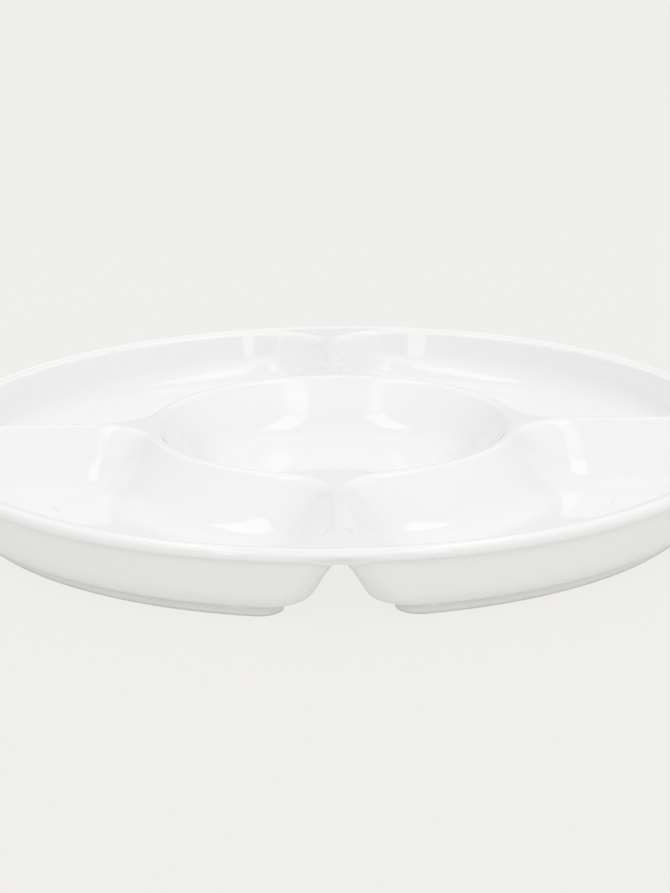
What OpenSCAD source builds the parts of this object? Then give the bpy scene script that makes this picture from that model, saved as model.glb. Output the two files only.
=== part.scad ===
// Divided serving dish: one round centre well and four outer wells in a single glazed casting.
// Millimetres. The dish stands on z = 0 and its axis is the z axis.
// The four dividers run along +x, -x, +y and -y, and they are hollow from below.

/* [Dish] */
// Diameter over the rolled lip
dish_d = 300; // [220:5:380]
// Height from the table to the top of the lip
dish_h = 28; // [22:1:45]
// Thickness of the wall at the divider and ring crests
crest_t = 4.6; // [3:0.1:7]
// Thickness of the well floors
floor_t = 3.5; // [2:0.1:6]

/* [Lip] */
// Thickness of the rolled lip, seen in section
lip_t = 5.2; // [3:0.1:8]
// How far the lip stands out past the wall under it
lip_overhang = 1.6; // [0.5:0.1:2.4]
// How far the lip stands above the divider crests
lip_rise = 0.6; // [0.4:0.1:1.5]

/* [Wells] */
// Depth of the wells below the divider crests
well_depth = 19.4; // [14:0.2:24]
// Slope of the divider and ring sides
side_slope = 50; // [44:1:60]
// Rounding over the divider and ring crests
crest_r = 3.5; // [2.5:0.25:8]
// Rounding where the divider and ring sides meet the floors
side_fillet = 20; // [8:1:24]
// Slope of the outer wall's inner face
wall_slope = 80; // [70:1:86]
// Rounding where the outer wall meets the floors
wall_fillet = 13; // [8:1:18]
// Shoulder rounding under the lip
shoulder_r = 0.8; // [0.4:0.1:1.5]
// Corner rounding of the outer wells in plan, at the crests
corner_r = 22; // [12:1:26]
// Corner rounding of the outer wells in plan, at the floors
corner_floor_r = 11; // [8:1:20]

/* [Centre well] */
// Radius of the ring crest round the centre well
ring_r = 67; // [50:0.5:80]
// Slope of the centre well's side
centre_slope = 52; // [46:1:60]
// Rounding where the centre well's side meets its floor
centre_fillet = 18.5; // [8:0.5:22]

/* [Underside] */
// Height of the unglazed foot rims
foot_h = 4.2; // [2:0.2:6]
// Width of the unglazed foot rims
foot_w = 4; // [3:0.25:6]
// Step from the wall's lower edge in to the foot
foot_step = 0.8; // [0.5:0.1:3]
// Rounding of the foot rims where they touch the table
foot_edge = 0.7; // [0.3:0.1:1.2]
// Corner rounding of the foot rims in plan
foot_corner_r = 7.5; // [5:0.5:12]
// Rounding of the hollow at the top, under the crests
arch_r = 2.8; // [2:0.2:5]
// Slope of the hollow's sides
arch_slope = 63; // [52:1:70]
// Corner rounding of the hollow in plan, at its top
arch_corner_r = 4; // [2:0.5:8]
// Heel rounding under the divider and ring sides
heel_r = 10; // [5:0.5:11]
// Corner rounding in plan where the heels turn level
heel_corner_r = 10; // [6:0.5:14]
// Heel rounding under the outer wall
wall_heel_r = 9.6; // [5:0.2:14]
// Slope of the outer wall's outer face
wall_back_slope = 76; // [70:1:86]

/* [Hidden] */
$fn = 180;

// Number of steps along each stretch of a well's outline
ring_steps = 8;
inner_corner_steps = 5;
side_steps = 3;
outer_corner_steps = 6;
rim_steps = 24;
// Steps of the rounded parts of the side profile
crest_steps = 2;
fillet_steps = 6;
heel_steps = 5;
crown_steps = 6;

dish_r = dish_d / 2;
crest_z = dish_h - lip_rise;
floor_z = crest_z - well_depth;
recess_z = floor_z - floor_t;
lip_r = lip_t / 2;
lip_z = dish_h - lip_r;
lip_mid_r = dish_r - lip_r;
// The lip's inner face, where the well walls and the divider ends meet it
neck_r = dish_r - lip_t;
// The outer face of the wall under the lip
wall_r = dish_r - lip_overhang;
// The lip's flat underside sits on the wall
lip_base_share = 0.96;
lip_base_z = dish_h - lip_t * lip_base_share;

// Half of the crest strip that the divider and ring nodes carry
strip_share = 0.6;
strip_half = crest_r * strip_share;
strip_a = asin(strip_share);
arch_z = crest_z - crest_t;
edge_z = crest_z - crest_r * (1 - cos(strip_a));
under_edge_z = arch_z - arch_r + sqrt(arch_r * arch_r - strip_half * strip_half);

// A side profile is a list of [distance from the crest line, height].
function side_run(slope, fillet) =
    crest_r * sin(slope) + fillet * sin(slope)
    + (well_depth - (crest_r + fillet) * (1 - cos(slope))) / tan(slope);

function side_top(slope, fillet) = concat(
    [for (i = [0:crest_steps])
        let (a = strip_a + (slope - strip_a) * i / crest_steps)
        [crest_r * sin(a), crest_z - crest_r * (1 - cos(a))]],
    [for (i = [0:fillet_steps])
        let (a = slope * (1 - i / fillet_steps))
        [side_run(slope, fillet) - fillet * sin(a), floor_z + fillet * (1 - cos(a))]]);

// The heel edge is where the side's underside turns level above the foot.
heel_run = (arch_r + heel_r) * sin(arch_slope)
    + (arch_z - foot_h - (arch_r + heel_r) * (1 - cos(arch_slope))) / tan(arch_slope);

side_back = concat(
    [[strip_half, under_edge_z]],
    [for (i = [1:crest_steps])
        let (a0 = asin(strip_half / arch_r))
        let (a = a0 + (arch_slope - a0) * i / crest_steps)
        [arch_r * sin(a), arch_z - arch_r * (1 - cos(a))]],
    [for (i = [0:heel_steps])
        let (a = arch_slope * (1 - i / heel_steps))
        [heel_run - heel_r * sin(a), foot_h + heel_r * (1 - cos(a))]]);

// The outer wall's profiles hold [radius, height], from the lip down.
wall_drop = edge_z - floor_z;
wall_run = (shoulder_r + wall_fillet) * sin(wall_slope)
    + (wall_drop - (shoulder_r + wall_fillet) * (1 - cos(wall_slope))) / tan(wall_slope);

wall_top = concat(
    [for (i = [0:crest_steps])
        let (a = wall_slope * i / crest_steps)
        [neck_r - shoulder_r * sin(a), edge_z - shoulder_r * (1 - cos(a))]],
    [for (i = [0:fillet_steps])
        let (a = wall_slope * (1 - i / fillet_steps))
        [neck_r - wall_run + wall_fillet * sin(a), floor_z + wall_fillet * (1 - cos(a))]]);

wall_back_drop = lip_base_z - foot_h;
wall_back_run = wall_heel_r * sin(wall_back_slope)
    + (wall_back_drop - wall_heel_r * (1 - cos(wall_back_slope))) / tan(wall_back_slope);

wall_under = concat(
    [[neck_r, lip_base_z], [wall_r, lip_base_z]],
    [[wall_r - (wall_back_run - wall_heel_r * sin(wall_back_slope)) / 2,
      lip_base_z - (wall_back_drop - wall_heel_r * (1 - cos(wall_back_slope))) / 2]],
    [for (i = [0:heel_steps])
        let (a = wall_back_slope * (1 - i / heel_steps))
        [wall_r - wall_back_run + wall_heel_r * sin(a), foot_h + wall_heel_r * (1 - cos(a))]]);

// The foot's seat and the recess inside it, as distances in from the heel edge.
seat_in = foot_step + foot_w + foot_step / 2;
recess_in = seat_in + abs(recess_z - foot_h);

// One quadrant's outline, a rounded sector between two dividers, as a closed ring of points.
// ro and ri are its radii, w its distance from the divider lines, qo and qi its corners,
// zo, zd and zi the heights on the wall, divider and ring sides.
function half_outline(ro, ri, w, qo, qi, zo, zd, zi) =
    let (xo = sqrt(pow(ro - qo, 2) - pow(w + qo, 2)), ao = asin((w + qo) / (ro - qo)))
    let (xi = sqrt(pow(ri + qi, 2) - pow(w + qi, 2)), ai = asin((w + qi) / (ri + qi)))
    let (nr = ring_steps / 2, nm = rim_steps / 2)
    let (ni = inner_corner_steps, ns = side_steps, no = outer_corner_steps)
    concat(
        [for (i = [0:nr - 1])
            let (a = 45 + (ai - 45) * i / nr)
            [ri * cos(a), ri * sin(a), zi]],
        [for (i = [0:ni - 1])
            let (a = 180 + ai + (90 - ai) * i / ni, s = blend(i / ni))
            [xi + qi * cos(a), w + qi + qi * sin(a), zi + (zd - zi) * s]],
        [for (i = [0:ns - 1])
            [xi + (xo - xi) * i / ns, w, zd]],
        [for (i = [0:no - 1])
            let (a = -90 + (90 + ao) * i / no, s = blend(i / no))
            [xo + qo * cos(a), w + qo + qo * sin(a), zd + (zo - zd) * s]],
        [for (i = [0:nm])
            let (a = ao + (45 - ao) * i / nm)
            [ro * cos(a), ro * sin(a), zo]]);

function blend(t) = t * t * (3 - 2 * t);

function outline(ro, ri, w, qo, qi, zo, zd, zi) =
    let (h = half_outline(ro, ri, w, qo, qi, zo, zd, zi), n = len(h))
    concat(h, [for (i = [1:n - 2]) let (p = h[n - 1 - i]) [p[1], p[0], p[2]]]);

// Rings of equal length joined into one closed solid, the first and last ring capped flat.
module loft(rings) {
    n = len(rings[0]);
    m = len(rings);
    points = [for (ring = rings) each ring];
    sides = [for (j = [0:m - 2], i = [0:n - 1])
        let (a = j * n + i, b = j * n + (i + 1) % n)
        each [[a, a + n, b], [b, a + n, b + n]]];
    polyhedron(
        points = points,
        faces = concat(
            [[for (i = [0:n - 1]) i]],
            sides,
            [[for (i = [n - 1:-1:0]) (m - 1) * n + i]]),
        convexity = 6);
}

side_in = side_top(side_slope, side_fillet);
heel_wall_r = wall_under[len(wall_under) - 1][0];

// One level of a well: the same step of the wall's, the dividers' and the ring's profile.
function well_level(wall_p, side_p, q) =
    outline(wall_p[0], ring_r + side_p[0], side_p[0], q, q, wall_p[1], side_p[1], side_p[1]);

function foot_level(inset, z) =
    outline(heel_wall_r - inset, ring_r + heel_run + inset, heel_run + inset,
        foot_corner_r, foot_corner_r, z, z, z);

// How far down its profile a point is, from 0 to 1
function drop_share(profile, i) =
    (profile[0][1] - profile[i][1]) / (profile[0][1] - profile[len(profile) - 1][1]);

module outer_well(turn) {
    n = len(side_in);
    m = len(side_back);
    rings = concat(
        [for (i = [n - 1:-1:0])
            well_level(wall_top[i], side_in[i], i == 0 ? arch_corner_r
                : corner_r + (corner_floor_r - corner_r) * drop_share(side_in, i))],
        [for (i = [0:m - 1])
            well_level(wall_under[i], side_back[i],
                arch_corner_r + (heel_corner_r - arch_corner_r) * drop_share(side_back, i))],
        [foot_level(seat_in, foot_h), foot_level(recess_in, recess_z)]);
    rotate(turn) loft(rings);
}

module outer_foot(turn) {
    inner = foot_step + foot_w;
    rings = [
        foot_level(foot_step, foot_h),
        foot_level(foot_step, foot_edge),
        foot_level(foot_step + foot_edge, 0),
        foot_level(inner - foot_edge, 0),
        foot_level(inner, foot_edge),
        foot_level(inner, foot_h)];
    n = len(rings[0]);
    m = len(rings);
    rotate(turn) polyhedron(
        points = [for (ring = rings) each ring],
        faces = [for (j = [0:m - 1], i = [0:n - 1])
            let (a = j * n + i, b = j * n + (i + 1) % n)
            let (c = ((j + 1) % m) * n + i, d = ((j + 1) % m) * n + (i + 1) % n)
            each [[a, c, b], [b, c, d]]],
        convexity = 6);
}

// The divider's crest strip runs from the ring to the lip, between two wells' upper edges.
crown = crest_z - edge_z;
strip_top = half_outline(neck_r, ring_r + strip_half, strip_half, arch_corner_r, arch_corner_r,
    edge_z, edge_z, edge_z);
strip_under = half_outline(neck_r, ring_r + strip_half, strip_half, arch_corner_r, arch_corner_r,
    lip_base_z, under_edge_z, under_edge_z);
strip_first = ring_steps / 2;
strip_count = inner_corner_steps + side_steps + outer_corner_steps;

function strip_bow(k) =
    let (p0 = strip_top[strip_first], p1 = strip_top[strip_first + strip_count])
    let (t0 = max(0, 1 - k / inner_corner_steps))
    let (t1 = max(0, (k - strip_count + outer_corner_steps) / outer_corner_steps))
    (ring_r + strip_half - p0[0]) * t0 + (neck_r - p1[0]) * t1;

function strip_row(edge, k, z_rise) = [for (i = [0:crown_steps])
    let (f = 2 * i / crown_steps - 1, p = edge[strip_first + k])
    [p[0] + strip_bow(k) * (1 - f * f), p[1] * f, p[2] + z_rise * (1 - f * f)]];

module divider(turn) {
    w = crown_steps + 1;
    rows = strip_count + 1;
    under_rise = arch_z - under_edge_z;
    points = concat(
        [for (k = [0:strip_count]) each strip_row(strip_top, k, crown)],
        [for (k = [0:strip_count]) each strip_row(strip_under, k, under_rise)]);
    u = rows * w;
    faces = concat(
        [for (k = [0:rows - 2], i = [0:w - 2])
            let (a = k * w + i)
            each [[a, a + 1, a + w], [a + 1, a + w + 1, a + w]]],
        [for (k = [0:rows - 2], i = [0:w - 2])
            let (a = u + k * w + i)
            each [[a, a + w, a + 1], [a + 1, a + w, a + w + 1]]],
        [for (k = [0:rows - 2])
            let (a = k * w, b = k * w + w - 1)
            each [[a, a + w, u + a + w], [a, u + a + w, u + a],
                [b, u + b, b + w], [b + w, u + b, u + b + w]]],
        [for (i = [0:w - 2])
            let (a = i, b = (rows - 1) * w + i)
            each [[a, u + a, a + 1], [a + 1, u + a, u + a + 1],
                [b, b + 1, u + b], [b + 1, u + b + 1, u + b]]]);
    rotate(turn) polyhedron(points = points, faces = faces, convexity = 4);
}

// Crest strip round the centre well
function arc_points(cx, cz, r, a0, a1, n) = [for (i = [0:n])
    let (a = a0 + (a1 - a0) * i / n) [cx + r * cos(a), cz + r * sin(a)]];

module ring_crest() {
    under_a = acos(strip_half / arch_r);
    color("white") rotate_extrude() polygon(concat(
        arc_points(ring_r, crest_z - crest_r, crest_r, 90 - strip_a, 90 + strip_a, crown_steps),
        arc_points(ring_r, arch_z - arch_r, arch_r, 180 - under_a, under_a, crown_steps)));
}

module centre_well() {
    top = side_top(centre_slope, centre_fillet);
    color("white") rotate_extrude() polygon(concat(
        [for (p = top) [ring_r - p[0], p[1]]],
        [[0, floor_z], [0, recess_z]],
        [[ring_r - heel_run - recess_in, recess_z], [ring_r - heel_run - seat_in, foot_h]],
        [for (i = [len(side_back) - 1:-1:0]) [ring_r - side_back[i][0], side_back[i][1]]]));
}

module centre_foot() {
    outer = ring_r - heel_run - foot_step;
    inner = outer - foot_w;
    color("tan") rotate_extrude() polygon(concat(
        [[outer, foot_h]],
        arc_points(outer - foot_edge, foot_edge, foot_edge, 0, -90, crown_steps),
        arc_points(inner + foot_edge, foot_edge, foot_edge, -90, -180, crown_steps),
        [[inner, foot_h]]));
}

// Rolled lip, round in section, with a flat seat for the wall
module rim_lip() {
    base_a = asin((lip_z - lip_base_z) / lip_r);
    shoulder_a = 180 - asin((edge_z + crown - lip_z) / lip_r);
    color("white") rotate_extrude() polygon(concat(
        arc_points(lip_mid_r, lip_z, lip_r, -base_a, shoulder_a, 4 * crown_steps),
        [[neck_r, edge_z], [neck_r, lip_base_z]]));
}

module outer_well_front_right() { color("white") outer_well(-90); }
module outer_well_back_right() { color("white") outer_well(0); }
module outer_well_back_left() { color("white") outer_well(90); }
module outer_well_front_left() { color("white") outer_well(180); }
module foot_front_right() { color("tan") outer_foot(-90); }
module foot_back_right() { color("tan") outer_foot(0); }
module foot_back_left() { color("tan") outer_foot(90); }
module foot_front_left() { color("tan") outer_foot(180); }
module divider_right() { color("white") divider(0); }
module divider_back() { color("white") divider(90); }
module divider_left() { color("white") divider(180); }
module divider_front() { color("white") divider(-90); }

rim_lip();
ring_crest();
centre_well();
centre_foot();
outer_well_front_right();
outer_well_back_right();
outer_well_back_left();
outer_well_front_left();
foot_front_right();
foot_back_right();
foot_back_left();
foot_front_left();
divider_right();
divider_back();
divider_left();
divider_front();
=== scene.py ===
import math

import bmesh
import bpy
from mathutils import Matrix, Vector


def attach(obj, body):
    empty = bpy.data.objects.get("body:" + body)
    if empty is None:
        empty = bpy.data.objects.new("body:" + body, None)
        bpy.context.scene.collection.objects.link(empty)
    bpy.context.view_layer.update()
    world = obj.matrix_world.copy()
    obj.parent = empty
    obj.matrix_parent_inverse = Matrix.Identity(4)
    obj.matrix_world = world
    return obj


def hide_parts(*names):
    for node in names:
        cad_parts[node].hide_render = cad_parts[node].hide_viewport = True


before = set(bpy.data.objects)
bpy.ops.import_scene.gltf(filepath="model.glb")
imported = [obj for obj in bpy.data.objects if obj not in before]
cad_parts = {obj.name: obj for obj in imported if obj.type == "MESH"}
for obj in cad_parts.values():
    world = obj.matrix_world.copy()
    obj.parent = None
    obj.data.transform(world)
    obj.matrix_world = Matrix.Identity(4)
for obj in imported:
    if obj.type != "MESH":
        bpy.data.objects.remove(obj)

mm = 0.001
weld = 0.01                  # vertices nearer than this are one, in mm
scene = bpy.context.scene
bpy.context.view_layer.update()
print("frame loaded")

# Sizes in mm, heights from the table
dish = {
    "radius": 150.0,
    "lipTop": 28.0,
    "lipThickness": 5.2,
    "lipOverhang": 1.6,
    "lipBase": 23.7,
    "lipStart": 126.0,       # the angle at which the lip leaves the wells' edge
    "lipSteps": 14,
    "lipSeam": 0.9,          # closes the lip's lower edge onto the wall
    "rimStrip": 0.3,         # between the lip and the edge of a wall
    "crest": 27.4,
    "floor": 8.0,
    "floorLines": (2.5, 6.0),
    "stripHalf": 0.8,        # from a crest line to the upper edge of a well
    "crestRadius": 3.5,
    "sideSlope": 50.0,
    "sideFillet": 20.0,
    "shoulder": 1.6,
    "wallSlope": 80.0,
    "wallFillet": 13.0,
    "cornerTop": 22.0,
    "cornerFloor": 11.0,
    "ring": 67.0,
    "centreSlope": 52.0,
    "centreFillet": 18.5,
    "archTop": 22.8,         # the hollow under a divider and the ring
    "archRadius": 2.3,
    "archSlope": 63.0,
    "archCorner": 7.5,
    "seat": 4.2,
    "recess": 4.5,
    "recessLines": (7.0, 11.0),
    "heel": 10.0,
    "heelCorner": 10.0,
    "wallEdge": 0.3,
    "wallBackSlope": 76.0,
    "wallHeel": 9.6,
}

# Steps along each stretch of a well's outline, from the ring round to the rim. A corner's
# steps are (along the divider, along the ring or rim), and as many as meet says join at the divider
above = {"ring": 9, "innerCorner": (4, 4), "side": 8, "outerCorner": (5, 6), "rim": 19, "meet": 0}
below = {"ring": 9, "innerCorner": (4, 4), "side": 8, "outerCorner": (4, 4), "rim": 23, "meet": 2}


def sind(degrees):
    return math.sin(math.radians(degrees))


def cosd(degrees):
    return math.cos(math.radians(degrees))


def tand(degrees):
    return math.tan(math.radians(degrees))


def ease(t):
    return t * t * (3 - 2 * t)


def trace(bm, start, strokes):
    # draws a line of vertices: each stroke turns about a centre or runs straight
    tip = bm.verts.new(start)
    first = len(bm.verts) - 1
    for centre, amount, count in strokes:
        if centre:
            made = bmesh.ops.spin(bm, geom=[tip], cent=(*centre, 0), axis=(0, 0, 1),
                                  angle=math.radians(amount), steps=count)
            tip = made["geom_last"][0]
        else:
            for i in range(count):
                tip = bmesh.ops.extrude_vert_indiv(bm, verts=[tip])["verts"][0]
                bmesh.ops.translate(bm, verts=[tip], vec=Vector(amount) / count)
    bm.verts.ensure_lookup_table()
    return bm.verts[first:]


def setHeights(line, steps, sideHeight, wallHeight):
    # a divider and ring height that eases into the rim's height round the outer corner
    turn = sum(steps["outerCorner"])
    corner = len(line) - 1 - steps["rim"] - turn
    for i, vert in enumerate(line):
        share = min(max((i - corner) / turn, 0), 1)
        vert.co.z = sideHeight + (wallHeight - sideHeight) * ease(share)


def cornerTurns(outer, inner, reach):
    # how far round the rim and the ring a well's corners of this reach go
    return [math.degrees(math.asin(share)) for share in (reach / outer, reach / inner)]


def traceCell(bm, steps, outer, inner, corner, crestHeight, rimHeight, turnUp):
    # the crest lines round an eighth of the dish: ring, divider, rim
    reach = dish["stripHalf"] + corner
    rimTurn, ringTurn = cornerTurns(outer - corner, inner + corner, reach)
    innerX = (inner + corner) * cosd(ringTurn)
    outerX = (outer - corner) * cosd(rimTurn)
    alongSide, alongRing = steps["innerCorner"]
    alongEnd, alongRim = steps["outerCorner"]
    start = (inner * cosd(45), inner * sind(45), crestHeight)
    line = trace(bm, start, [
        ((0, 0), ringTurn - 45, steps["ring"]),
        ((0, 0), -ringTurn, alongRing),
        (None, (innerX - inner, 0, 0), alongSide),
        (None, (outerX - innerX, 0, 0), steps["side"]),
        (None, (outer - outerX, 0, 0), alongEnd),
        (None, (0, 0, 0), steps["meet"]),
        ((0, 0), rimTurn, alongRim - steps["meet"]),
        ((0, 0), 45 - rimTurn, steps["rim"])])
    last = len(line) - 1 - steps["rim"] - alongRim
    for i, vert in enumerate(line[last - turnUp:]):
        vert.co.z = crestHeight + (rimHeight - crestHeight) * ease(min(i / turnUp, 1))
    return line


def traceWell(bm, steps, outer, inner, gap, corner, sideHeight, wallHeight):
    # half of a well's outline, a rounded sector between two dividers
    rimTurn, ringTurn = cornerTurns(outer - corner, inner + corner, gap + corner)
    outerX = (outer - corner) * cosd(rimTurn)
    innerX = (inner + corner) * cosd(ringTurn)
    line = trace(bm, (inner * cosd(45), inner * sind(45), 0), [
        ((0, 0), ringTurn - 45, steps["ring"]),
        ((innerX, gap + corner), 90 - ringTurn, sum(steps["innerCorner"])),
        (None, (outerX - innerX, 0, 0), steps["side"]),
        ((outerX, gap + corner), 90 + rimTurn, sum(steps["outerCorner"])),
        ((0, 0), 45 - rimTurn, steps["rim"])])
    setHeights(line, steps, sideHeight, wallHeight)
    return line


def edgesOf(bm, line):
    return [bm.edges.get((a, b)) for a, b in zip(line, line[1:])]


def loft(bm, lines):
    for a, b in zip(lines, lines[1:]):
        bmesh.ops.bridge_loops(bm, edges=edgesOf(bm, a) + edgesOf(bm, b))


def roundedSlope(top, bottom, slope, drop, first, counts):
    # (distance, drop) over a rounded edge, down a slope and out on a fillet
    points = []
    for i in range(counts[0] + 1):
        angle = first + (slope - first) * i / counts[0]
        points.append((top * sind(angle), top * (1 - cosd(angle))))
    straight = drop - (top + bottom) * (1 - cosd(slope))
    x, z = points[-1]
    for i in range(1, counts[1]):
        points.append((x + straight / tand(slope) * i / counts[1], z + straight * i / counts[1]))
    x, z = x + straight / tand(slope), z + straight
    for i in range(counts[2] + 1):
        angle = slope * (1 - i / counts[2])
        points.append((x + bottom * (sind(slope) - sind(angle)),
                       z + bottom * (cosd(angle) - cosd(slope))))
    return points


def wellLines(bm, steps, boundary, sideLevels, wallLevels, crown, corners):
    # the crest strip, then one outline for each level of the two profiles
    lines = [boundary]
    depth = sideLevels[0][1] - min(z for x, z in sideLevels)
    for i, ((away, sideZ), (radius, wallZ)) in enumerate(zip(sideLevels, wallLevels)):
        share = (sideLevels[0][1] - sideZ) / depth if i < len(sideLevels) - 3 else 1
        corner = corners[0] + (corners[1] - corners[0]) * share
        line = traceWell(bm, steps, radius, dish["ring"] + away, away, corner, sideZ, wallZ)
        if i == 0:
            for k in range(1, crown):
                t = k / crown
                middle = trace(bm, boundary[0].co, [(None, (1, 0, 0), len(boundary) - 1)])
                for vert, a, b in zip(middle, boundary, line):
                    vert.co = a.co.lerp(b.co, t)
                    vert.co.z = a.co.z + (b.co.z - a.co.z) * t * t
                lines.append(middle)
        lines.append(line)
    return lines


def closeFloor(bm, line, steps):
    # the last outline of a well's half, closed as a fan from between its four corners
    face = bm.faces.new(line)
    middle = bmesh.ops.poke(bm, faces=[face])["verts"][0]
    corners = [line[i].co for i in (0, steps["ring"], -1 - steps["rim"], -1)]
    middle.co = sum(corners, Vector()) / 4


def fullTurn(bm):
    swap = Matrix(((0, 1, 0, 0), (1, 0, 0, 0), (0, 0, 1, 0), (0, 0, 0, 1)))
    for turn in (swap, Matrix.Rotation(math.radians(90), 4, "Z"),
                 Matrix.Rotation(math.radians(180), 4, "Z")):
        made = bmesh.ops.duplicate(bm, geom=bm.verts[:] + bm.edges[:] + bm.faces[:])
        verts = [item for item in made["geom"] if isinstance(item, bmesh.types.BMVert)]
        bmesh.ops.transform(bm, matrix=turn, verts=verts)
    bmesh.ops.remove_doubles(bm, verts=bm.verts, dist=weld)


def rimEdges(bm, radius, height):
    # the open edges that lie on a circle
    def onCircle(vert):
        return max(abs(vert.co.xy.length - radius), abs(vert.co.z - height)) < 2 * weld
    return [edge for edge in bm.edges if edge.is_boundary and all(map(onCircle, edge.verts))]


def turnProfile(bm, edges, radius, profile):
    # carries an open circle on through the (radius, height) points of a profile
    for newRadius, height in profile:
        made = bmesh.ops.extrude_edge_only(bm, edges=edges)["geom"]
        edges = [item for item in made if isinstance(item, bmesh.types.BMEdge)]
        verts = [item for item in made if isinstance(item, bmesh.types.BMVert)]
        for vert in verts:
            vert.co.xy *= newRadius / radius
            vert.co.z = height
        radius = newRadius
    return edges


def finishPiece(bm, name, material):
    bmesh.ops.remove_doubles(bm, verts=bm.verts, dist=weld)
    bmesh.ops.recalc_face_normals(bm, faces=bm.faces)
    bmesh.ops.scale(bm, verts=bm.verts, vec=(mm, mm, mm))
    for face in bm.faces:
        face.smooth = True
    print(name, "faces", len(bm.faces), "open edges", sum(not e.is_manifold for e in bm.edges))
    meshData = bpy.data.meshes.new(name)
    bm.to_mesh(meshData)
    bm.free()
    piece = bpy.data.objects.new(name, meshData)
    scene.collection.objects.link(piece)
    meshData.materials.append(material)
    smooth = piece.modifiers.new("Smooth", "SUBSURF")
    smooth.levels = smooth.render_levels = 1
    return piece


# Shader maths on sockets
class Value:
    def __init__(self, tree, socket):
        self.tree = tree
        self.socket = socket

    def combine(self, operation, other, swap=False):
        node = self.tree.nodes.new("ShaderNodeMath")
        node.operation = operation
        for i, item in enumerate((other, self) if swap else (self, other)):
            if isinstance(item, Value):
                self.tree.links.new(item.socket, node.inputs[i])
            else:
                node.inputs[i].default_value = item
        return Value(self.tree, node.outputs[0])

    def __add__(self, other):
        return self.combine("ADD", other)

    __radd__ = __add__

    def __sub__(self, other):
        return self.combine("SUBTRACT", other)

    def __rsub__(self, other):
        return self.combine("SUBTRACT", other, True)

    def __mul__(self, other):
        return self.combine("MULTIPLY", other)

    __rmul__ = __mul__

    def __truediv__(self, other):
        return self.combine("DIVIDE", other)

    def __rtruediv__(self, other):
        return self.combine("DIVIDE", other, True)

    def atLeast(self, other):
        return self.combine("MAXIMUM", other)

    def clamp(self):
        node = self.tree.nodes.new("ShaderNodeClamp")
        self.tree.links.new(self.socket, node.inputs[0])
        return Value(self.tree, node.outputs[0])

    def rise(self, start, end):
        # 0 below start, 1 above end, eased between
        node = self.tree.nodes.new("ShaderNodeMapRange")
        node.interpolation_type = "SMOOTHSTEP"
        self.tree.links.new(self.socket, node.inputs[0])
        node.inputs[1].default_value, node.inputs[2].default_value = start, end
        return Value(self.tree, node.outputs[0])


class Finish:
    # a material and one way to add any node to it
    def __init__(self, name):
        self.material = bpy.data.materials.new(name)
        self.material.use_nodes = True
        self.tree = self.material.node_tree
        self.shader = self.tree.nodes["Principled BSDF"]

    def node(self, kind, settings=None, values=None):
        made = self.tree.nodes.new(kind)
        for key, value in (settings or {}).items():
            setattr(made, key, value)
        for key, value in (values or {}).items():
            self.set(made.inputs[key], value)
        return made

    def set(self, socket, value):
        if isinstance(value, Value):
            value = value.socket
        if isinstance(value, bpy.types.NodeSocket):
            self.tree.links.new(value, socket)
        else:
            socket.default_value = value

    def value(self, socket):
        return Value(self.tree, socket)

    def blend(self, share, first, second):
        mix = self.node("ShaderNodeMix", {"data_type": "RGBA"}, {"Factor": share, "A": first, "B": second})
        return [item for item in mix.outputs if item.type == "RGBA"][0]


glazeLook = {
    "colour": (0.905, 0.905, 0.9, 1),
    "shade": (0.895, 0.9, 0.9, 1),
    "pooling": 14.0,
    "peel": 60.0,
    "roughness": (0.02, 0.04),
    "ior": 1.52,
}


def makeGlaze():
    finish = Finish("whiteGlaze")
    place = finish.node("ShaderNodeTexCoord").outputs["Object"]
    look = glazeLook
    pooled = finish.node("ShaderNodeTexNoise", None,
                         {"Vector": place, "Scale": look["pooling"], "Detail": 2.0}).outputs[0]
    orangePeel = finish.node("ShaderNodeTexNoise", None,
                             {"Vector": place, "Scale": look["peel"], "Detail": 1.0})
    finish.set(finish.shader.inputs["Base Color"], finish.blend(pooled, look["colour"], look["shade"]))
    smoothest, roughest = look["roughness"]
    rough = finish.value(pooled) * (roughest - smoothest) + smoothest
    finish.set(finish.shader.inputs["Roughness"], rough)
    bump = finish.node("ShaderNodeBump", None, {"Strength": 0.02, "Distance": 0.001,
                                                "Height": orangePeel.outputs[0]})
    finish.set(finish.shader.inputs["Normal"], bump.outputs[0])
    finish.shader.inputs["IOR"].default_value = look["ior"]
    return finish.material


# Glazed down the sides, bare where a foot rim stands on the table
bisqueLook = {
    "bare": (0.72, 0.69, 0.63, 1),
    "grain": 900.0,
    "bareTo": 1.6,           # with the fade, bare up to about 0.4 mm and glazed from about 1 mm
    "fade": 1500,
    "roughness": (0.1, 0.7),
}


def makeBisque():
    finish = Finish("footBisque")
    look = bisqueLook
    place = finish.node("ShaderNodeTexCoord").outputs["Object"]
    height = finish.node("ShaderNodeSeparateXYZ", None, {"Vector": place}).outputs["Z"]
    grain = finish.node("ShaderNodeTexNoise", None,
                        {"Vector": place, "Scale": look["grain"], "Detail": 3.0})
    speck = finish.value(grain.outputs[0])
    bare = (look["bareTo"] - finish.value(height) * look["fade"] + (speck - 0.5) * 0.8).clamp()
    finish.set(finish.shader.inputs["Base Color"], finish.blend(bare, glazeLook["shade"], look["bare"]))
    smoothest, roughest = look["roughness"]
    finish.set(finish.shader.inputs["Roughness"], bare * (roughest - smoothest) + smoothest)
    bump = finish.node("ShaderNodeBump", None, {"Strength": 0.1, "Distance": 0.0003,
                                                "Height": grain.outputs[0]})
    finish.set(finish.shader.inputs["Normal"], bump.outputs[0])
    return finish.material


glaze = makeGlaze()
bisque = makeBisque()
print("finishes ready")

# The finger notches: where and how far the front edge of an arch is drawn back and down
notch = {"inner": 143.0, "backHalf": 11.0, "downHalf": 8.5, "foot": 17.0, "rise": 2.4,
         "fall": 1.1, "back": 2.6, "down": 1.0, "crown": 5.0, "round": 6.8}


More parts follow.
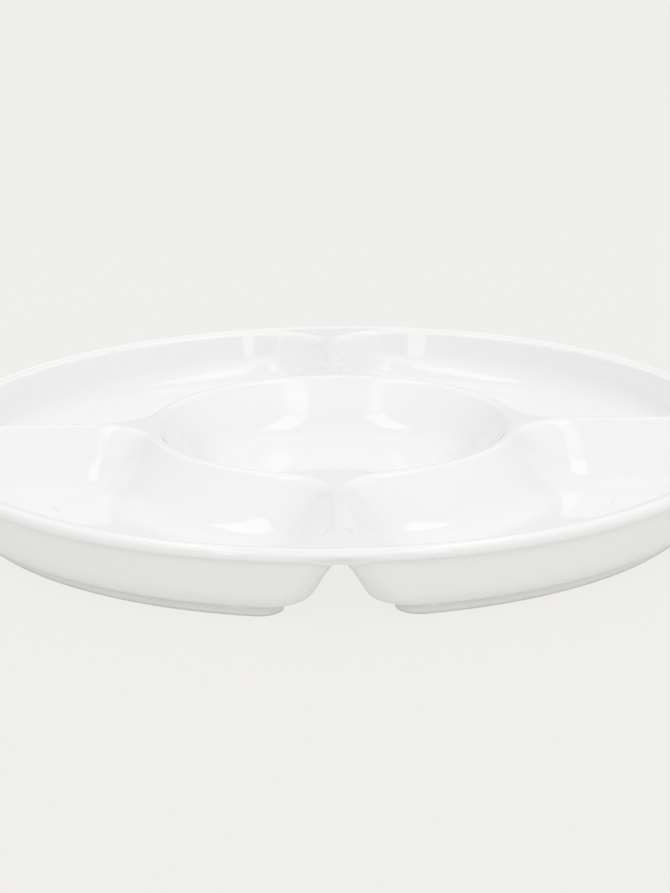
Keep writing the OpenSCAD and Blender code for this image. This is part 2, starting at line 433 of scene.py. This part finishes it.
def easeNotches(bm, lipMiddle):
    d = notch
    for vert in bm.verts:
        radius, height = vert.co.xy.length, vert.co.z
        aside = min(abs(vert.co.x), abs(vert.co.y))
        if radius < d["inner"] or aside > d["backHalf"] or not d["foot"] < height < lipMiddle:
            continue
        upright = ease(min((height - d["foot"]) / d["rise"], 1))
        share = upright * ease(min((lipMiddle - height) / d["fall"], 1))
        vert.co.xy *= 1 - d["back"] * share * ease(1 - aside / d["backHalf"]) / radius
        share = upright * ease(min((lipMiddle - height) / d["rise"], 1))
        share *= ease(max(1 - aside / d["downHalf"], 0))
        vert.co.z -= (d["down"] + d["round"] * min(aside / d["crown"], 1) ** 2) * share


# The glazed body: the upper face, the lip and the hollow underside in one skin
def makeBody():
    bm = bmesh.new()
    d = dish
    neck = d["radius"] - d["lipThickness"]
    wallRadius = d["radius"] - d["lipOverhang"]
    stripAngle = math.degrees(math.asin(d["stripHalf"] / d["crestRadius"]))
    depth = d["crest"] - d["floor"]

    # upper face, as steps round the edge, down the slope and round the fillet
    counts = (7, 2, 7)
    side = roundedSlope(d["crestRadius"], d["sideFillet"], d["sideSlope"], depth, stripAngle, counts)
    sideLevels = [(x, d["crest"] - z) for x, z in side]
    edge = sideLevels[0][1]
    wall = roundedSlope(d["shoulder"], d["wallFillet"], d["wallSlope"], edge - d["floor"], 0, counts)
    wallLevels = [(neck - d["rimStrip"] - x, edge - z) for x, z in wall]
    for more in d["floorLines"]:
        sideLevels.append((side[-1][0] + more, d["floor"]))
        wallLevels.append((neck - d["rimStrip"] - wall[-1][0] - more, d["floor"]))
    top = traceCell(bm, above, neck, d["ring"], d["cornerTop"], d["crest"], d["crest"], 4)
    lines = wellLines(bm, above, top, sideLevels, wallLevels, 3, (d["cornerTop"], d["cornerFloor"]))
    loft(bm, lines)
    closeFloor(bm, lines[-1], above)
    flankStart, smoothings = 9, 4
    flanks = [vert for line in lines[flankStart:-2] for vert in line[1:-1]]
    for i in range(smoothings):
        bmesh.ops.smooth_vert(bm, verts=flanks, factor=0.5, use_axis_x=True, use_axis_y=True,
                              use_axis_z=True)

    # underside
    counts = (4, 2, 6)
    archAngle = math.degrees(math.asin(d["stripHalf"] / d["archRadius"]))
    archDrop = d["archTop"] - d["seat"]
    side = roundedSlope(d["archRadius"], d["heel"], d["archSlope"], archDrop, archAngle, counts)
    sideLevels = [(x, d["archTop"] - z) for x, z in side]
    wallDrop = d["lipBase"] - d["seat"]
    wall = roundedSlope(d["wallEdge"], d["wallHeel"], d["wallBackSlope"], wallDrop, 0, counts)
    wallLevels = [(wallRadius - x, d["lipBase"] - z) for x, z in wall]
    rise = d["recess"] - d["seat"]
    near, far = d["recessLines"]
    for more, height in ((near, d["seat"]), (near + rise, d["recess"]), (far + rise, d["recess"])):
        sideLevels.append((side[-1][0] + more, height))
        wallLevels.append((wallRadius - wall[-1][0] - more, height))
    corners = (d["archCorner"], d["heelCorner"])
    under = traceCell(bm, below, wallRadius + d["rimStrip"], d["ring"], d["archCorner"], d["archTop"],
                      d["lipBase"], 4)
    lines = wellLines(bm, below, under, sideLevels, wallLevels, 2, corners)
    loft(bm, lines)
    closeFloor(bm, lines[-1], below)
    fullTurn(bm)
    print("wells lofted")

    # centre well, above and below
    side = roundedSlope(d["crestRadius"], d["centreFillet"], d["centreSlope"], depth, 0, (9, 2, 8))
    profile = [(d["ring"] - x, d["crest"] - z) for x, z in side[1:]]
    profile += [(profile[-1][0] * share, d["floor"]) for share in (0.8, 0.3)]
    edges = turnProfile(bm, rimEdges(bm, d["ring"], d["crest"]), d["ring"], profile)
    bmesh.ops.edgeloop_fill(bm, edges=edges)
    side = roundedSlope(d["archRadius"], d["heel"], d["archSlope"], archDrop, 0, (4, 2, 5))
    profile = [(d["ring"] - x, d["archTop"] - z) for x, z in side[1:]]
    last = profile[-1][0]
    profile += [(last - near, d["seat"]), (last - near - rise, d["recess"]), (last * 0.3, d["recess"])]
    edges = turnProfile(bm, rimEdges(bm, d["ring"], d["archTop"]), d["ring"], profile)
    bmesh.ops.edgeloop_fill(bm, edges=edges)

    # rolled lip, which ends just above its base
    lipRadius = d["lipThickness"] / 2
    middle = (d["radius"] - lipRadius, d["lipTop"] - lipRadius)
    start, steps = d["lipStart"], d["lipSteps"]
    end = math.degrees(math.asin((d["lipBase"] + 0.2 - middle[1]) / lipRadius))
    angles = [start - (start - end) * i / steps for i in range(steps + 1)]
    profile = [(middle[0] + lipRadius * cosd(a), middle[1] + lipRadius * sind(a)) for a in angles]
    profile += [(wallRadius + d["rimStrip"], d["lipBase"])]
    turnProfile(bm, rimEdges(bm, neck, d["crest"]), neck, profile)
    seam = [vert for vert in bm.verts if vert.is_boundary]
    bmesh.ops.remove_doubles(bm, verts=seam, dist=d["lipSeam"])
    easeNotches(bm, middle[1])
    return finishPiece(bm, "glazedBody", glaze)


body = makeBody()
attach(body, "root")
glazeNodes = [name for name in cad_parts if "foot" not in name]
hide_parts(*glazeNodes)
print("body made")

# The foot rims: one under each outer well and a round one under the centre well
foot = {
    "step": 0.8,
    "lap": 0.6,              # how far a rim reaches into the body
    "width": 4.0,
    "edge": 0.7,
    "corner": 7.5,
    "sides": 96,
}


def makeFeet():
    bm = bmesh.new()
    d = dish
    wallDrop, archDrop = d["lipBase"] - d["seat"], d["archTop"] - d["seat"]
    ends = (1, 1, 1)
    wall = roundedSlope(d["wallEdge"], d["wallHeel"], d["wallBackSlope"], wallDrop, 0, ends)
    side = roundedSlope(d["archRadius"], d["heel"], d["archSlope"], archDrop, 0, ends)
    heelWall = d["radius"] - d["lipOverhang"] - wall[-1][0]
    heelSide = side[-1][0]
    edge, width, top = foot["edge"], foot["width"], d["seat"] + foot["lap"]
    section = [(0, top), (0, edge)]
    section += [(edge * (1 - cosd(a)), edge * (1 - sind(a))) for a in (30, 60, 90)]
    section += [(width - away, height) for away, height in reversed(section)]
    lines = []
    for away, height in section:
        away += foot["step"]
        lines.append(traceWell(bm, below, heelWall - away, d["ring"] + heelSide + away, heelSide + away,
                               foot["corner"], height, height))
    loft(bm, lines + lines[:1])
    fullTurn(bm)
    outer = d["ring"] - heelSide - foot["step"]
    ring = bmesh.ops.create_circle(bm, cap_ends=False, radius=outer, segments=foot["sides"])["verts"]
    bmesh.ops.translate(bm, verts=ring, vec=(0, 0, top))
    start = [edge for edge in bm.edges if edge.is_wire]
    last = turnProfile(bm, start, outer, [(outer - away, z) for away, z in section[1:]])
    bmesh.ops.bridge_loops(bm, edges=start + last)
    return finishPiece(bm, "footRims", bisque)


feet = makeFeet()
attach(feet, "root")
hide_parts(*[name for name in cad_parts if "foot" in name])
print("feet made")

# Floor and light. The table glows in the backdrop's colour, a painted glow that lights the object from
# below on top of the light the table bounces; the camera sees it in the backdrop's colour
backdrop = (0.88, 0.872, 0.84, 1)
# glow is the share of the table's painted glow that lights the object, seenGlow the share the camera sees
table = {"halfSize": 6, "colour": (0.75, 0.74, 0.72, 1), "glow": 0.5, "seenGlow": 0.92}


def makeFloor():
    bm = bmesh.new()
    bmesh.ops.create_grid(bm, x_segments=1, y_segments=1, size=table["halfSize"])
    meshData = bpy.data.meshes.new("table")
    bm.to_mesh(meshData)
    bm.free()
    floor = bpy.data.objects.new("table", meshData)
    scene.collection.objects.link(floor)
    finish = Finish("tableTop")
    finish.shader.inputs["Base Color"].default_value = table["colour"]
    finish.shader.inputs["Roughness"].default_value = 1
    finish.shader.inputs["Specular IOR Level"].default_value = 0
    rays = finish.node("ShaderNodeLightPath")
    # painted glow: the table emits the backdrop's colour onto the object although it is no lamp
    more = table["seenGlow"] - table["glow"]
    share = finish.value(rays.outputs["Is Camera Ray"]) * more + table["glow"]
    glow = finish.node("ShaderNodeEmission", None, {"Color": backdrop, "Strength": 1.0})
    mix = finish.node("ShaderNodeMixShader", None,
                      {0: share, 1: finish.shader.outputs[0], 2: glow.outputs[0]})
    finish.set(finish.tree.nodes["Material Output"].inputs[0], mix.outputs[0])
    meshData.materials.append(finish.material)


def makeWorld():
    # the studio's walls: a level for each side at each height, blended round and upwards
    world = bpy.data.worlds.new("studio")
    scene.world = world
    world.use_nodes = True
    tree = world.node_tree
    place = tree.nodes.new("ShaderNodeTexCoord")
    axes = tree.nodes.new("ShaderNodeSeparateXYZ")
    tree.links.new(place.outputs["Generated"], axes.inputs[0])
    right, away, up = [Value(tree, socket) for socket in axes.outputs]
    flat = (1 - up * up).atLeast(0.001)
    quarters = {"front": away * -1, "back": away, "left": right * -1, "right": right}
    quarters = {side: part.atLeast(0) for side, part in quarters.items()}
    quarters = {side: part * part / flat for side, part in quarters.items()}
    level = studio["ceiling"]
    for (start, end), sides in reversed(studio["bands"]):
        band = sum((quarters[side] * amount for side, amount in sides.items()), 0)
        level = band + (level - band) * up.rise(start, end)
    plain = tree.nodes["Background"]
    plain.inputs["Color"].default_value = (1, 1, 1, 1)
    tree.links.new(level.socket, plain.inputs["Strength"])
    pale = tree.nodes.new("ShaderNodeBackground")
    pale.inputs["Color"].default_value = backdrop
    rays = tree.nodes.new("ShaderNodeLightPath")
    mix = tree.nodes.new("ShaderNodeMixShader")
    tree.links.new(rays.outputs["Is Camera Ray"], mix.inputs[0])
    tree.links.new(plain.outputs[0], mix.inputs[1])
    tree.links.new(pale.outputs[0], mix.inputs[2])
    tree.links.new(mix.outputs[0], tree.nodes["World Output"].inputs[0])


def softbox(name, place, target, size, level):
    # level is the panel's brightness, where 1 is white
    light = bpy.data.lights.new(name, "AREA")
    light.shape = "RECTANGLE"
    light.size, light.size_y = size
    light.energy = level * math.pi * size[0] * size[1]
    lamp = bpy.data.objects.new(name, light)
    scene.collection.objects.link(lamp)
    lamp.location = place
    lamp.rotation_euler = (Vector(target) - Vector(place)).to_track_quat("-Z", "Y").to_euler()


# Two long panels overhead, dimmer towards the camera, and two windows behind it. A wall's
# levels hold up to the heights where the next band comes in, given as sines
studio = {
    "ceiling": 0.6,
    "bands": [
        ((0.08, 0.26), {"front": 0.46, "back": 0.75, "left": 0.5, "right": 0.88}),
        ((0.35, 0.6), {"front": 0.45, "back": 0.62, "left": 0.75, "right": 0.85}),
        ((0.75, 0.95), {"front": 1.6, "back": 0.95, "left": 0.95, "right": 0.95}),
    ],
    "panels": {
        "leftPanel": ((-0.62, 0, 1.5), (-0.62, 0, 0), (0.37, 1), 1.6),
        "rightPanel": ((0.54, -0.02, 1.5), (0.54, -0.02, 0), (0.41, 0.96), 1.6),
        "leftEnd": ((-0.67, -0.9, 1.5), (-0.67, -0.9, 0), (0.24, 0.7), 0.75),
        "rightEnd": ((0.535, -0.9, 1.5), (0.535, -0.9, 0), (0.33, 0.7), 1.0),
        "leftWindow": ((-0.88, -1.64, 0.5), (0, 0, 0.02), (0.22, 0.8), 1.6),
        "rightWindow": ((0.79, -1.68, 0.5), (0, 0, 0.02), (0.22, 0.8), 1.6),
    },
}

makeFloor()
makeWorld()
for name, panel in studio["panels"].items():
    softbox(name, *panel)
print("light set")

# Camera, from the photo's ellipses
view = {"azimuth": -0.7, "elevation": 17.53, "distance": 0.891, "focal": 2385.0,
        "centre": (333.7, 491.6), "roll": 0.62, "frame": (670, 893)}


def makeCamera():
    v = view
    data = bpy.data.cameras.new("camera")
    camera = bpy.data.objects.new("camera", data)
    scene.collection.objects.link(camera)
    data.lens = v["focal"] * data.sensor_width / v["frame"][1]
    back = Vector((sind(v["azimuth"]) * cosd(v["elevation"]),
                   -cosd(v["azimuth"]) * cosd(v["elevation"]), sind(v["elevation"])))
    camera.location = back * v["distance"]
    turn = (-back).to_track_quat("-Z", "Y").to_matrix().to_4x4()
    offX = math.atan((v["centre"][0] - v["frame"][0] / 2) / v["focal"])
    offY = math.atan((v["centre"][1] - v["frame"][1] / 2) / v["focal"])
    turn = turn @ Matrix.Rotation(-math.radians(v["roll"]), 4, "Z")
    turn = turn @ Matrix.Rotation(offX, 4, "Y") @ Matrix.Rotation(offY, 4, "X")
    camera.rotation_euler = turn.to_euler()
    scene.camera = camera


makeCamera()
scene.view_settings.view_transform = "Standard"
print("camera set")
